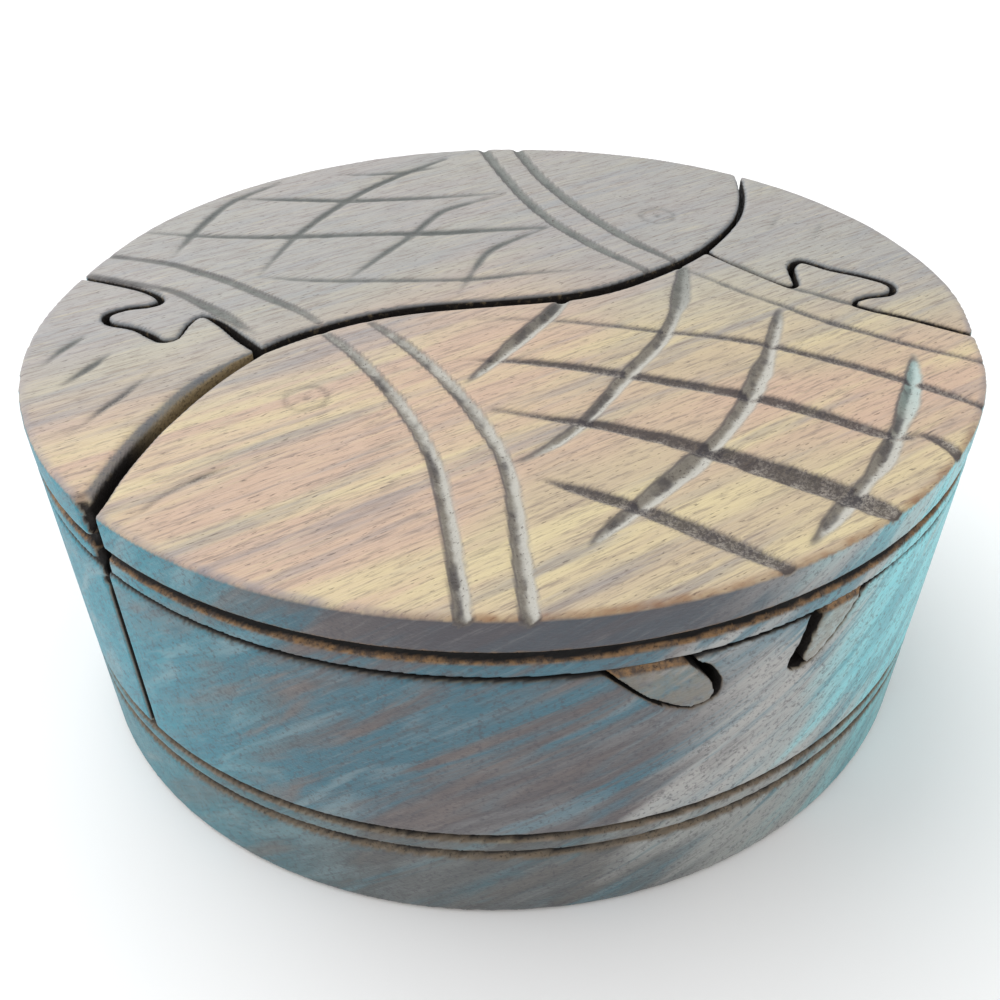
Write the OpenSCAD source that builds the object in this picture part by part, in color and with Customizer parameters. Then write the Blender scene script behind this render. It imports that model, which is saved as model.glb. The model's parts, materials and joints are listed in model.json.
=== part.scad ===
// Oval wooden puzzle box whose lid is two fish lying head to tail.
// Each fish slides out on a sawn dovetail, and each tail lifts straight up.
// Millimetres. The origin is the middle of the underside and +Z is up.

/* [Box] */
// Length of the oval from left to right
box_length = 130; // [117:1:143]
// Width of the oval from front to back
box_width = 120; // [110:1:132]
// Height over everything
box_height = 54; // [50:1:62]
// Thickness of the bottom plate
base_thick = 16.5; // [15:0.5:18]
// Thickness of the boards that the lid is cut from
lid_thick = 8.7; // [8.2:0.1:9.6]
// Thickness of the walls
wall_thick = 9; // [8.6:0.1:9.4]

/* [Saw cuts] */
// Height of the saw gap under the lids
lid_gap = 0.5; // [0.3:0.1:0.8]
// Width of the fine cuts round the tails
fine_cut = 0.8; // [0.6:0.1:1]
// Width of the cut between the two fish at its middle
body_cut = 2; // [1.6:0.1:2.3]
// Width of the stretches of the tail cuts that have closed up
closed_cut = 0.3; // [0.25:0.05:0.5]
// Width of the gap beside the front fish's head
head_cut = 2.5; // [1.8:0.1:2.8]
// Width of the upright cut down the wall
wall_cut = 0.7; // [0.4:0.1:0.9]

/* [Slides] */
// Direction that the front fish slides in, in degrees from +X
slide_angle = -75; // [-77:1:-73]
// Distance from the centre to the flat back of the left tail's wall
left_key_back = 53; // [52.5:0.1:53.5]
// Distance from the centre to the flat back of the right tail's wall
right_key_back = 54.6; // [54.2:0.1:55]
// Play left between a sliding face and the wall that it runs along
play = 0.25; // [0.15:0.05:0.3]

/* [Grooves] */
// Height of the middle of the groove round the lid
rim_groove_z = 48.2; // [47.8:0.1:48.6]
// Height of the middle of the groove in the bottom plate
foot_groove_z = 13.2; // [12.6:0.1:13.4]
// Opening of the rim and foot grooves
groove_width = 2; // [1.4:0.1:2.2]
// Depth of the rim and foot grooves
groove_depth = 1.2; // [0.6:0.1:1.5]

/* [Hidden] */

wood_side = [0.36, 0.36, 0.37];
wood_top = [0.74, 0.62, 0.50];
wood_key = [0.66, 0.56, 0.47];

half_length = box_length / 2;
half_width = box_width / 2;
wall_top = box_height - lid_thick - lid_gap;
lid_bottom = box_height - lid_thick;
far = box_length;              // longer than anything that it has to cut
sides = 96;                    // straight runs that the oval is drawn with
slide = [cos(slide_angle), sin(slide_angle)];
across = [-sin(slide_angle), cos(slide_angle)];

// ---- curves ----------------------------------------------------------------
// A plan point is [x, y, width of the cut there], for a box of 130 by 120.
function on_box(p) = [p[0] * box_length / 130, p[1] * box_width / 120, p[2]];

function curve_at(a, b, c, d, t) =
    0.5 * (2 * b + (c - a) * t + (2 * a - 5 * b + 4 * c - d) * t * t
        + (3 * b - a - 3 * c + d) * t * t * t);

// A smooth curve through the points
function smooth(p, steps = 5) = let (last = len(p) - 1) [
    for (i = [0 : last - 1]) for (k = [0 : steps - 1])
        curve_at(p[max(i - 1, 0)], p[i], p[i + 1], p[min(i + 2, last)], k / steps),
    p[last]];

function backwards(p) = [for (i = [len(p) - 1 : -1 : 0]) p[i]];
function plan(p) = [for (q = p) [q[0], q[1]]];
function heading(p, i) = let (
    a = p[max(i - 1, 0)], b = p[min(i + 1, len(p) - 1)],
    run = [b[0] - a[0], b[1] - a[1]]) run / norm(run);
function beside(p, i, away) = let (h = heading(p, i))
    [p[i][0] - h[1] * away, p[i][1] + h[0] * away];

// The cut between the two fish, from the front fish's nose to the back fish's mouth
body_curve = smooth([for (p = [
    [-34.2, -4.2, 1.3], [-29.9, -1.6, 1.8], [-23.4, 1.1, 1.8], [-16.4, 2.8, 2.1],
    [-9.6, 3.3, 2.2], [-2.7, 3, body_cut], [6, 2.75, body_cut], [13, 3.3, 2.1],
    [19, 5, 2.1], [27.9, 9.3, 1.7], [33.5, 13, 1.4]])
    on_box(p)]);

// On along the back fish's nose and out through the rim
back_head_curve = smooth([for (p = [
    [33.5, 13, 1.4], [38.8, 18.2, 1], [43, 23.6, fine_cut], [46.4, 30.5, fine_cut],
    [48.6, 38, fine_cut], [49.6, 45, fine_cut]])
    on_box(p)]);

// The gap beside the front fish's head, from outside the rim to its nose
front_head_curve = smooth([for (p = [
    [-57, -42, 2], [-53.2, -34.4, 2], [-51.4, -29.2, 2], [-49.6, -24.8, 2.1],
    [-47.5, -20.5, 2.2], [-45.2, -16.7, 2.3], [-42.7, -12.7, head_cut],
    [-38.7, -8.2, 2], [-34.2, -4.2, 1.3]])
    on_box(p)]);

// The left tail's cut, round the back fish's tab and out through the rim
left_tail_curve = smooth([for (p = [
    [-34.2, -4.2, 1.3], [-36.8, -0.2, 1.4], [-39.6, 4.6, 1], [-42, 6.9, closed_cut],
    [-43.9, 5, closed_cut], [-45.2, 1.4, closed_cut], [-47.2, 1, fine_cut],
    [-48.8, 2.8, 1.1], [-51.2, 5.2, fine_cut], [-54.6, 7.2, 0.9], [-55.2, 9.6, 1],
    [-52.6, 11, fine_cut], [-48.9, 11.4, 0.9], [-48, 13, 0.9],
    [-51.2, 16.6, fine_cut], [-58.6, 21.2, fine_cut], [-67, 25.4, fine_cut]])
    on_box(p)]);

// The right tail's cut, round the front fish's tab and out through the rim
right_tail_curve = smooth([for (p = [
    [33.5, 13, 1], [35.2, 10, closed_cut], [41, 0.6, closed_cut], [43, -0.2, fine_cut],
    [43.8, 2.4, 0.9], [44.8, 5.6, 1], [47, 6.8, 1], [50, 3.6, fine_cut],
    [53.8, 0.8, fine_cut], [56.6, -2.4, 0.9], [55.6, -5, fine_cut],
    [51.6, -5.5, fine_cut], [49.3, -6.5, 0.6], [49.8, -8.2, fine_cut],
    [54.4, -11.9, fine_cut], [61.2, -18, fine_cut], [68, -23.9, fine_cut]])
    on_box(p)]);

// ---- flat shapes -----------------------------------------------------------
module oval(inset) {
    polygon([for (i = [0 : sides - 1]) let (a = 360 * i / sides)
        [(half_length - inset) * cos(a), (half_width - inset) * sin(a)]]);
}

module ring() {
    difference() {
        oval(0);
        oval(wall_thick);
    }
}

// The strip that a saw cut takes away
module strip(p) {
    polygon(concat(
        [for (i = [0 : len(p) - 1]) beside(p, i, p[i][2] / 2)],
        [for (i = [len(p) - 1 : -1 : 0]) beside(p, i, -p[i][2] / 2)]));
}

module saw_cuts() {
    strip(body_curve);
    strip(back_head_curve);
    strip(front_head_curve);
    strip(left_tail_curve);
    strip(right_tail_curve);
}

module front_fish_area() {
    polygon(concat(plan(front_head_curve), plan(body_curve), plan(right_tail_curve),
        [[far, -far], [-far, -far]]));
}

module back_fish_area() {
    polygon(concat(plan(backwards(left_tail_curve)), plan(body_curve),
        plan(back_head_curve), [[far / 2, far], [-far, far]]));
}

module left_tail_area() {
    polygon(concat(plan(front_head_curve), plan(left_tail_curve),
        [[-far, 30], [-far, -60]]));
}

module right_tail_area() {
    polygon(concat(plan(back_head_curve), [[far, 60], [far, -30]],
        plan(backwards(right_tail_curve))));
}

// Everything further than back from the centre, away from or along across
module beyond(back, way) {
    polygon([
        way * across * back + slide * far, way * across * far + slide * far,
        way * across * far - slide * far, way * across * back - slide * far]);
}

// The part of the ring that stands with the left or the right tail
module left_key_zone(back) {
    intersection() {
        beyond(back, -1);
        polygon(concat(plan(front_head_curve), [[-30, far], [-far, far], [-far, -60]]));
    }
}

module right_key_zone(back) {
    intersection() {
        beyond(back, 1);
        polygon(concat(plan(back_head_curve), [[far, 60], [far, -far], [30, -far]]));
    }
}

module wall_plan(way) {
    difference() {
        intersection() {
            ring();
            polygon([
                across * far, across * far + way * slide * far,
                -across * far + way * slide * far, -across * far]);
        }
        left_key_zone(left_key_back);
        right_key_zone(right_key_back);
    }
}

module tail_wall_cuts() {
    strip([for (p = front_head_curve) [p[0], p[1], 2 * wall_cut]]);
    strip([for (p = back_head_curve) [p[0], p[1], 2 * wall_cut]]);
    strip(left_tail_curve);
    strip(right_tail_curve);
}

// ---- grooves ---------------------------------------------------------------
module groove(middle, width, depth) {
    translate([0, 0, middle - width / 2]) linear_extrude(width) difference() {
        offset(delta = 1) oval(0);
        oval(depth);
    }
}

module side_grooves() {
    groove(rim_groove_z, groove_width, groove_depth);
    groove(base_thick, groove_width, groove_depth);
    groove(foot_groove_z, groove_width, groove_depth);
}

// ---- sliding dovetail ------------------------------------------------------
// Outlines seen along the slide: x is across the box and y is up.
hook_reach = 8.7;              // how far the hooks hang below the lid
left_hook_edge = smooth([
    [-17, 0], [-14.6, -2.5], [-12.2, -5.1], [-9.4, -7.3], [-6.4, -hook_reach],
    [-4.3, -8.1], [-4.3, -5.8], [-6.2, -3], [-8, -1], [-8.6, 0.6]]);
left_pocket_edge = smooth([
    [-17.6, 0], [-15, -2.8], [-12.5, -5.4], [-9.6, -7.7], [-6.4, -9.1],
    [-3.8, -8.5], [-3, -6.2], [-4.6, -3], [-6.8, -1.2], [-7.4, 0.6]]);
right_hook_edge = smooth([
    [10.4, 0.6], [9.6, -3], [8.4, -7.4], [9.2, -8.6], [11.2, -7.3], [13.6, -4.4],
    [16.2, -0.6], [16.8, 0.6]]);
right_pocket_edge = smooth([
    [8.1, 0.6], [7.2, -3.4], [6.1, -7.4], [7, -9], [9.4, -9], [11.6, -7.4],
    [14, -4.7], [16.6, -0.8], [17.2, 0.6]]);

module along_slide(edge) {
    translate([0, 0, lid_bottom]) rotate([90, 0, slide_angle + 90])
        linear_extrude(far) polygon(edge);
}

module hooks() {
    intersection() {
        union() {
            along_slide(concat(left_hook_edge, [[-17, 0.6]]));
            along_slide(right_hook_edge);
        }
        linear_extrude(box_height) ring();
    }
}

module pockets() {
    along_slide(concat(left_pocket_edge, [[-17.6, 0.6]]));
    along_slide(right_pocket_edge);
}

// The groove that carries on across the two hooks, just under the lid
module hook_groove() {
    groove(lid_bottom - 0.6, 1.2, 0.8);
}

// ---- pieces ----------------------------------------------------------------
module lid_board() {
    translate([0, 0, lid_bottom]) linear_extrude(lid_thick) difference() {
        intersection() {
            oval(0);
            children();
        }
        saw_cuts();
    }
}

module tail_wall(height_to) {
    translate([0, 0, base_thick]) linear_extrude(height_to - base_thick) difference() {
        intersection() {
            ring();
            children(0);
            children(1);
        }
        tail_wall_cuts();
    }
}

module base() {
    color(wood_side) difference() {
        linear_extrude(base_thick) oval(0);
        side_grooves();
    }
}

module wall(way) {
    difference() {
        translate([0, 0, base_thick]) linear_extrude(wall_top - base_thick)
            wall_plan(way);
        rotate([0, 0, way > 0 ? 0 : 180]) pockets();
        side_grooves();
    }
}

module front_wall() {
    color(wood_side) wall(1);
}

module back_wall() {
    color(wood_side) wall(-1);
}

module front_fish_lid() {
    color(wood_top) difference() {
        union() {
            lid_board() front_fish_area();
            hooks();
        }
        side_grooves();
        hook_groove();
    }
}

module back_fish_lid() {
    color(wood_top) difference() {
        union() {
            lid_board() back_fish_area();
            rotate([0, 0, 180]) hooks();
        }
        side_grooves();
        hook_groove();
    }
}

module left_tail_key() {
    color(wood_key) difference() {
        union() {
            lid_board() left_tail_area();
            tail_wall(lid_bottom + 1) {
                left_tail_area();
                left_key_zone(left_key_back + play);
            }
        }
        side_grooves();
        hook_groove();
    }
}

module right_tail_key() {
    color(wood_key) difference() {
        union() {
            lid_board() right_tail_area();
            tail_wall(lid_bottom + 1) {
                right_tail_area();
                right_key_zone(right_key_back + play);
            }
        }
        side_grooves();
        hook_groove();
    }
}

base();
front_wall();
back_wall();
front_fish_lid();
back_fish_lid();
left_tail_key();
right_tail_key();
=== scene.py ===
"""The looks of an oval wooden puzzle box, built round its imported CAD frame.

Each visible piece is a dense mesh grown from a distance field. The field's outlines are
sections through the piece's own CAD node, so every cut, hook and pocket lies where the CAD
has it. V grooves, gouge marks, worn edges and small chips are part of the field, so they
are real shape. Lengths in the fields are millimetres, and the meshes are metres.
"""
import json
import math

import bpy
import numpy as np
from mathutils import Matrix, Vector


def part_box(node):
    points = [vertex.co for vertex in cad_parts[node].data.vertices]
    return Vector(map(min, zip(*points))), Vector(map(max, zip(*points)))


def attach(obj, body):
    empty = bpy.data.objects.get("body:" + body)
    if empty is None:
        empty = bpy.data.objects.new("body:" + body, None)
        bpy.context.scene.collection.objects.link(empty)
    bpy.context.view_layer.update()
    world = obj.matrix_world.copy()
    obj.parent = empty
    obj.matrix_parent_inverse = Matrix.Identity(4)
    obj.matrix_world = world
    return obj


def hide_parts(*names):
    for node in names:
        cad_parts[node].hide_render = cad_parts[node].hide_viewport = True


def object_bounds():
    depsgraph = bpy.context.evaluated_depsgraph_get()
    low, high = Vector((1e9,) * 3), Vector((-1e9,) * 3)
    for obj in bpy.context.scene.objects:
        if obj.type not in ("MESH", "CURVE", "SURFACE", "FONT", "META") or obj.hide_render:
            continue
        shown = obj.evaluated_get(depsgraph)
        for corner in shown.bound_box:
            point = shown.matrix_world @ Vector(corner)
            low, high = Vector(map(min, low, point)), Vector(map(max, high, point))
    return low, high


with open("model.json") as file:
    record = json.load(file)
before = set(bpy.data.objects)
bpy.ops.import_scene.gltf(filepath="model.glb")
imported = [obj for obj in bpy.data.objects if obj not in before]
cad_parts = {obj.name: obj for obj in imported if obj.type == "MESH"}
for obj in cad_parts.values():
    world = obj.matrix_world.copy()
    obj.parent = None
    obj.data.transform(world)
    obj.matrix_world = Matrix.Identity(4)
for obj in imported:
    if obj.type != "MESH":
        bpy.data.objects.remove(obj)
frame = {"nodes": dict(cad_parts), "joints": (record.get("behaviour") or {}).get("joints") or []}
cad_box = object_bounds()

MM = 0.001

# ---- sizes from the frame ---------------------------------------------------------------
low, high = cad_box
HALF_LENGTH = (high.x - low.x) / 2 / MM
HALF_WIDTH = (high.y - low.y) / 2 / MM
TOP = high.z / MM
WALL_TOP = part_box("front_wall")[1].z / MM
BASE_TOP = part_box("base")[1].z / MM
LENGTH_SCALE = HALF_LENGTH / 65
WIDTH_SCALE = HALF_WIDTH / 60
HEIGHT_SCALE = TOP / 54

slides = {j["name"]: j for j in frame["joints"]}
SLIDE = np.array(slides["front_fish_slide"]["axis"][:2], float)
ACROSS = np.array([-SLIDE[1], SLIDE[0]])

LID_BOTTOM = WALL_TOP + 0.5
LID_CUT_Z = LID_BOTTOM - 0.3
WALL_THICK = 9 * LENGTH_SCALE

# V grooves round the side: the height of the middle, the width and the depth.
RIM_GROOVE = (TOP - 5.85, 2, 1.3)
BASE_GROOVE = (BASE_TOP, 1.8, 1)
FOOT_GROOVE = (BASE_TOP - 3.3, 1.7, 1)
WALL_LIP = (LID_CUT_Z, 1.2, 0.7)
TAIL_LIP = (LID_CUT_Z, 1.2, 0.8)
HOOK_LIP = (LID_CUT_Z, 2.4, 0.7)
GROOVE_BANDS = [(RIM_GROOVE[0], 1.05), (BASE_GROOVE[0], 0.95), (FOOT_GROOVE[0], 0.95)]

# The hooks' section is taken this far out along the slide, and they lie this near its line.
HOOK_SECTION = HALF_WIDTH - 5
HOOK_ZONE = 20
# How far hooks and tail walls run up into the lid board that they are one piece with.
ROOT = 0.8
# The wall's top rises this much where the cut under the lid is pressed shut.
CLOSED_LIFT = 0.42

# Radii of the edges.
SAWN_EDGE = 0.15
KEY_FOOT_EDGE = 0.2
LID_UNDER_EDGE = 0.25
FOOT_EDGE = 0.9

# Distance between grid places in the fields, and a field value that is well outside or inside.
LID_STEP = 0.42
WALL_STEP = 0.5
BASE_STEP = 0.62
FAR = 9

# Places on the rim that are sanded flatter: x, y, how much and over what distance.
SANDED = [(-60, 24, 0.9, 15), (62, -18, 0.7, 8)]


# ---- sections through the CAD nodes -----------------------------------------------------
def section(node, across, up, normal, height):
    """Where a plane cuts a node, as an array of (start, end) points along across and up."""
    mesh = frame["nodes"][node].data
    mesh.calc_loop_triangles()
    points = np.zeros(len(mesh.vertices) * 3)
    mesh.vertices.foreach_get("co", points)
    points = points.reshape(-1, 3) / MM
    corners = np.zeros(len(mesh.loop_triangles) * 3, int)
    mesh.loop_triangles.foreach_get("vertices", corners)
    triangles = points[corners.reshape(-1, 3)]
    above = triangles @ np.array(normal, float) - height
    flat = np.stack([triangles @ np.array(across, float), triangles @ np.array(up, float)], -1)
    ends = []
    for a, b in ((0, 1), (1, 2), (2, 0)):
        crosses = above[:, a] * above[:, b] < 0
        share = above[:, a] / np.where(crosses, above[:, a] - above[:, b], 1)
        place = flat[:, a] + share[:, None] * (flat[:, b] - flat[:, a])
        ends.append(np.where(crosses[:, None], place, np.nan))
    ends = np.stack(ends, 1)
    cut = np.isfinite(ends[..., 0]).sum(1) == 2
    ends = ends[cut]
    order = np.argsort(np.isnan(ends[..., 0]), axis=1, kind="stable")[:, :2]
    return np.take_along_axis(ends, order[..., None], 1)


def plan_section(node, height):
    return section(node, (1, 0, 0), (0, 1, 0), (0, 0, 1), height + 0.0137)


def slide_section(node, way):
    across = (way * ACROSS[0], way * ACROSS[1], 0)
    along = (way * SLIDE[0], way * SLIDE[1], 0)
    return section(node, across, (0, 0, 1), along, HOOK_SECTION + 0.0137)


def outline_field(runs, u, v):
    """Signed distance from every (u, v) to an outline given as runs; inside is negative."""
    grid_u, grid_v = np.meshgrid(u, v, indexing="ij")
    nearest = np.full(grid_u.shape, 1e9)
    inside = np.zeros(grid_u.shape, bool)
    for (u0, v0), (u1, v1) in runs:
        du, dv = u1 - u0, v1 - v0
        length = du * du + dv * dv
        if length < 1e-10:
            continue
        share = np.clip(((grid_u - u0) * du + (grid_v - v0) * dv) / length, 0, 1)
        away = (grid_u - u0 - share * du) ** 2 + (grid_v - v0 - share * dv) ** 2
        np.minimum(nearest, away, out=nearest)
        if v0 != v1:
            spans = (v0 <= v) != (v1 <= v)
            columns = np.nonzero(spans)[0]
            reach = u0 + (v[columns] - v0) * du / dv
            inside[:, columns] ^= u[:, None] < reach[None, :]
    return np.where(inside, -1, 1) * np.sqrt(nearest)


def sample(field, u, v, at_u, at_v):
    """The field's value at other places, by bilinear steps."""
    i = np.clip((at_u - u[0]) / (u[1] - u[0]), 0, len(u) - 1.001)
    j = np.clip((at_v - v[0]) / (v[1] - v[0]), 0, len(v) - 1.001)
    a, b = i.astype(int), j.astype(int)
    s, t = i - a, j - b
    low_row = field[a, b] * (1 - s) + field[a + 1, b] * s
    high_row = field[a, b + 1] * (1 - s) + field[a + 1, b + 1] * s
    return low_row * (1 - t) + high_row * t


# ---- field tools ------------------------------------------------------------------------
def steps(low_end, high_end, step, margin=2.5):
    """Grid places from one end to the other, with room outside for the surface."""
    count = int(math.ceil((high_end - low_end + 2 * margin * step) / step)) + 1
    return low_end - margin * step + step * np.arange(count)


def round_join(a, b, radius):
    """The solid inside both a and b, with the edge where they meet rounded."""
    past_a, past_b = np.maximum(a + radius, 0), np.maximum(b + radius, 0)
    return np.minimum(np.maximum(a, b), -radius) + np.hypot(past_a, past_b)


def v_groove(rim, z, middle, width, depth):
    """How far a place is inside a V groove that runs round the oval."""
    slope = 2 * depth / width
    return (rim + depth - slope * np.abs(z - middle)) / math.hypot(1, slope)


def soft_noise(x, y, size, seed):
    """Smooth random values from -1 to 1 that vary over about size millimetres."""
    table = np.random.default_rng(seed).uniform(-1, 1, (64, 64))
    u, v = x / size + 1000, y / size + 1000
    a, b = np.floor(u).astype(int), np.floor(v).astype(int)
    s, t = u - a, v - b
    s, t = s * s * (3 - 2 * s), t * t * (3 - 2 * t)
    near = table[a % 64, b % 64] * (1 - s) + table[(a + 1) % 64, b % 64] * s
    past = table[a % 64, (b + 1) % 64] * (1 - s) + table[(a + 1) % 64, (b + 1) % 64] * s
    return near * (1 - t) + past * t


def surface_net(field, x, y, z):
    """Points and four-sided faces on the field's zero surface."""
    inside = field < 0
    count = np.zeros([n - 1 for n in field.shape], np.int8)
    for i in (0, 1):
        for j in (0, 1):
            for k in (0, 1):
                count += inside[
                    i : i + count.shape[0], j : j + count.shape[1], k : k + count.shape[2]
                ]
    active = (count > 0) & (count < 8)
    cells = np.argwhere(active)
    number = np.full(active.shape, -1)
    number[active] = np.arange(len(cells))
    total, crossings = np.zeros((len(cells), 3)), np.zeros(len(cells))
    for axis in range(3):
        run = np.eye(3, dtype=int)[axis]
        others = [np.eye(3, dtype=int)[a] for a in range(3) if a != axis]
        for i in (0, 1):
            for j in (0, 1):
                start = i * others[0] + j * others[1]
                near = field[tuple((cells + start).T)]
                past = field[tuple((cells + start + run).T)]
                crosses = (near < 0) != (past < 0)
                share = near / np.where(crosses, near - past, 1)
                place = start + share[:, None] * run
                total[crosses] += place[crosses]
                crossings[crosses] += 1
    step = np.array([x[1] - x[0], y[1] - y[0], z[1] - z[0]])
    points = np.array([x[0], y[0], z[0]]) + (cells + total / crossings[:, None]) * step
    faces = []
    for axis in range(3):
        near = np.moveaxis(inside, axis, 0)[:-1]
        past = np.moveaxis(inside, axis, 0)[1:]
        crosses = (near != past)[:, 1:-1, 1:-1]
        place = np.argwhere(crosses)
        i, j, k = place[:, 0], place[:, 1] + 1, place[:, 2] + 1
        ids = np.moveaxis(number, axis, 0)
        quad = np.stack(
            [ids[i, j - 1, k - 1], ids[i, j, k - 1], ids[i, j, k], ids[i, j - 1, k]], 1
        )
        out = near[i, j, k]
        if axis == 1:
            out = ~out
        faces.append(np.where(out[:, None], quad, quad[:, ::-1]))
    return points, np.concatenate(faces)


# ---- hand-carved lines ------------------------------------------------------------------
# A point is (x, y, width, depth) in millimetres on a box of 130 by 120.
FRONT_GILLS = [
    [(-26, -0.4, 0.74, 0.4), (-21.9, -7.8, 1.18, 0.7), (-17.3, -20.5, 1.25, 0.8),
     (-14.9, -33, 1.33, 0.8), (-15, -46, 1.4, 0.9), (-15.9, -62, 1.48, 0.9)],
    [(-19.3, 0.8, 0.66, 0.4), (-15.2, -6, 1.18, 0.7), (-11.1, -15.6, 1.4, 0.8),
     (-7.9, -27, 1.4, 0.8), (-6.9, -36, 1.25, 0.8), (-8, -48, 1.55, 0.9),
     (-9.6, -62, 1.62, 0.9)],
]
FRONT_SCALES_DOWN = [
    [(9.4, 2.6, 1.29, 0.5), (5, -2.6, 2.39, 0.9), (0, -8, 2.21, 0.8), (-5.2, -13.6, 1.38, 0.5),
     (-9.4, -17.8, 0.46, 0.1)],
    [(28.6, 8, 1.47, 0.5), (25.6, 0, 2.58, 0.9), (23, -5.2, 1.66, 0.6), (18.6, -12, 1.84, 0.8),
     (13, -18, 1.84, 0.8), (5, -27.1, 1.47, 0.6), (-0.5, -31.9, 1.38, 0.5), (-6.4, -35, 0.55, 0.1)],
    [(38, -6.4, 0.74, 0.2), (35.6, -11, 1.66, 0.6), (32, -17.4, 1.66, 0.6), (29, -22, 2.76, 0.9),
     (24, -29, 2.21, 0.8), (19, -34.4, 1.75, 0.7), (14, -38.8, 2.94, 1), (8.4, -43, 2.39, 0.8),
     (3, -47, 1.66, 0.6), (-2, -51, 0.46, 0.1)],
    [(50.8, -21, 0.55, 0.2), (48, -26.4, 1.84, 0.6), (44.6, -31.6, 2.58, 0.9),
     (41, -36.4, 1.66, 0.6),
     (36.8, -41.4, 2.39, 0.9), (33, -45, 1.47, 0.6), (27.5, -49.6, 2.02, 0.7),
     (21.4, -54.8, 0.55, 0.1)],
]
FRONT_SCALES_ALONG = [
    [(-9, -0.6, 0.4, 0.1), (-0.9, -2, 0.8, 0.25), (7.5, -4.2, 1, 0.35), (18.7, -8.8, 1.2, 0.4),
     (31.2, -14.4, 1.3, 0.5), (43.3, -23.8, 1.5, 0.6), (49.8, -30.1, 1.5, 0.5),
     (54.4, -35.6, 1.2, 0.4)],
    [(-10.4, -11, 0.5, 0.1), (-1.7, -12.9, 1.3, 0.5), (5.7, -15.7, 1.7, 0.6),
     (15.9, -20.9, 1.9, 0.7), (25.6, -26.4, 2.1, 0.8), (32.7, -31.8, 2.1, 0.8),
     (38.3, -37, 1.8, 0.7), (41.4, -38.6, 1.2, 0.4)],
    [(42, -37.8, 0.8, 0.2), (44.2, -39.4, 1.6, 0.5), (45.2, -42.6, 1.8, 0.6),
     (44.4, -46, 1.4, 0.4)],
    [(-6.6, -23.2, 0.8, 0.3), (0.7, -26.7, 1.3, 0.5), (6.7, -29.5, 2, 0.8),
     (15.6, -35.4, 2.8, 1), (23.5, -42, 3.6, 1.2), (28.4, -46.4, 3.8, 1.2),
     (32.2, -50.4, 3, 0.9), (34.6, -52.6, 1.2, 0.3)],
    [(-4, -37.6, 0.7, 0.2), (1.3, -41.5, 1.8, 0.7), (7, -46, 2.2, 0.8), (13.5, -52.4, 2.4, 0.8),
     (18.6, -57.8, 1.8, 0.6)],
]
BACK_GILLS = [
    [(7, 62, 1.48, 0.64), (8.7, 47, 1.48, 0.64), (10.4, 36.4, 1.4, 0.64), (13, 27, 1.4, 0.64),
     (17, 18, 1.33, 0.56), (23.4, 7.2, 0.86, 0.32)],
    [(13.1, 62, 1.56, 0.64), (14.5, 47, 1.56, 0.64), (16.7, 36.6, 1.48, 0.64),
     (19.6, 27.4, 1.48, 0.64),
     (23.4, 18.2, 1.33, 0.56), (28.6, 9.4, 0.78, 0.32)],
]
BACK_SCALES = [
    [(-21, 53, 0.56, 0.15), (-12, 51.6, 1.28, 0.38), (-4, 52.4, 1.12, 0.3), (1, 53.6, 0.48, 0.08)],
    [(-38.6, 46, 0.64, 0.22), (-28.9, 44, 1.28, 0.45), (-18.4, 41.6, 1.52, 0.52),
     (-7.8, 40.4, 1.36, 0.45), (7.6, 39.6, 0.8, 0.22)],
    [(-51.4, 35.4, 0.72, 0.3), (-40, 31.8, 1.2, 0.45), (-29.5, 29.7, 1.44, 0.52),
     (-14.5, 27.9, 1.36, 0.52), (-4.3, 26.5, 1.76, 0.6), (11.2, 25.7, 1.12, 0.3)],
    [(-34.4, 17.2, 0.72, 0.22), (-25.3, 14.2, 1.12, 0.38), (-11.5, 11.6, 1.2, 0.38),
     (-2.5, 10.4, 1.28, 0.38), (8, 10.6, 1.04, 0.3), (20.4, 9.6, 0.56, 0.15)],
    [(-30, 51, 0.96, 0.3), (-37.8, 45, 1.44, 0.45), (-42, 38, 1.6, 0.45), (-44.6, 32, 1.44, 0.38),
     (-47.4, 24.4, 0.56, 0.15)],
    [(0, 56.6, 0.96, 0.3), (-9.3, 50.4, 1.44, 0.52), (-18.3, 42.6, 1.52, 0.52),
     (-27.9, 29.9, 1.36, 0.45), (-34, 17.6, 0.72, 0.22)],
    [(7, 38.8, 0.64, 0.22), (-3.4, 34.9, 1.44, 0.45), (-10.2, 26.5, 1.28, 0.45),
     (-16.9, 18.9, 1.28, 0.38), (-23, 11.6, 0.48, 0.15)],
    [(12.6, 25.9, 0.64, 0.22), (2.2, 20, 1.36, 0.45), (-2, 14, 1.2, 0.38), (-6.2, 5.4, 0.64, 0.15)],
]
LEFT_TAIL_LINES = [
    [(-57.6, 28.6, 0.75, 0.32), (-47.6, 23.8, 0.98, 0.4), (-42.9, 20.1, 1.05, 0.48),
     (-38.3, 16.2, 1.2, 0.48), (-32.8, 10.2, 1.2, 0.48), (-28.6, 5.6, 1.05, 0.4),
     (-26, 1.6, 0.75, 0.32)],
    [(-62, 24.2, 0.6, 0.24), (-51.1, 17.8, 0.83, 0.32), (-46.2, 14.6, 0.9, 0.32),
     (-43.2, 11.4, 1.12, 0.4), (-41, 8.8, 1.58, 0.48), (-38.6, 5.9, 1.42, 0.4),
     (-36.4, 2.6, 0.9, 0.32), (-34.2, -0.3, 0.45, 0.16)],
]
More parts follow.
